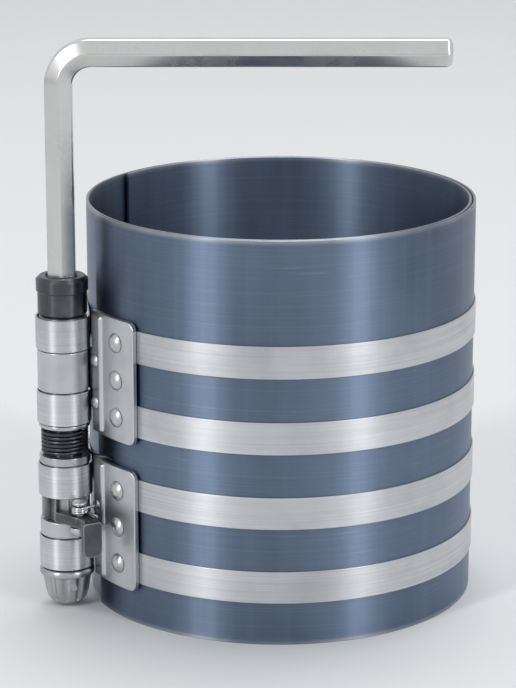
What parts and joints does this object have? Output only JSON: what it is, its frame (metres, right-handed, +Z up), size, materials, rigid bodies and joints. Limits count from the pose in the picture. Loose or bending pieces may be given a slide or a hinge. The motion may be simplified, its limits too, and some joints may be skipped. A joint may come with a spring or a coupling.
{
  "type": "piston ring compressor",
  "caption": "Rolled spring-steel sleeve with tension bands that wind onto a ratchet spindle by a hexagonal key, closing piston rings so a piston slides into its cylinder.",
  "frame": {"origin": "on the sleeve's axis at its bottom edge", "axes": "+Z up the sleeve, key arm along +X at rest, winding column on the -X side, pads towards -Y"},
  "size_m": [0.0817, 0.0737, 0.107],
  "materials": {
    "blued_sheet": "satin",
    "band_steel": "satin",
    "winding_steel": "satin",
    "bracket_steel": "satin",
    "rivet_steel": "satin",
    "spindle_steel": "satin",
    "washer_steel": "satin",
    "spring_wire": "satin",
    "pawl_spring_wire": "satin",
    "ratchet_steel": "satin",
    "pawl_steel": "satin",
    "knob_steel": "satin",
    "key_plate": "polished"
  },
  "bodies": {
    "sleeve_body": {"sleeve": "blued_sheet", "band_1": "band_steel", "band_2": "band_steel", "band_3": "band_steel", "band_4": "band_steel", "upper_bracket": "bracket_steel", "lower_bracket": "bracket_steel", "upper_pad_rivets": "rivet_steel", "lower_pad_rivets": "rivet_steel", "upper_wing_rivets": "rivet_steel", "lower_wing_rivets": "rivet_steel", "coil_spring": "spring_wire", "pawl_pin": "rivet_steel", "pawl_spring": "pawl_spring_wire"},
    "spindle_body": {"spindle": "spindle_steel", "winding_1": "winding_steel", "winding_2": "winding_steel", "winding_3": "winding_steel", "winding_4": "winding_steel", "upper_washer": "washer_steel", "lower_washer": "washer_steel", "ratchet_wheel": "ratchet_steel", "knob": "knob_steel", "knob_pin": "rivet_steel"},
    "pawl_body": {"pawl": "pawl_steel"},
    "key_body": {"hex_key": "key_plate"}
  },
  "joints": [
    {"name": "spindle_turn", "type": "hinge", "parent": "sleeve_body", "child": "spindle_body", "pos_m": [-0.04003, -0.01498, 0], "axis": [0, 0, -1], "range_deg": [-2250, 630]},
    {"name": "key_lift", "type": "slide", "parent": "spindle_body", "child": "key_body", "axis": [0, 0, 1], "range_m": [0, 0.012]},
    {"name": "pawl_release", "type": "hinge", "parent": "sleeve_body", "child": "pawl_body", "pos_m": [-0.03711, -0.02136, 0.0185], "axis": [0, 0, 1], "range_deg": [0, 14], "stiffness_Nm_per_rad": 0.005, "springref_deg": -17.19}
  ]
}
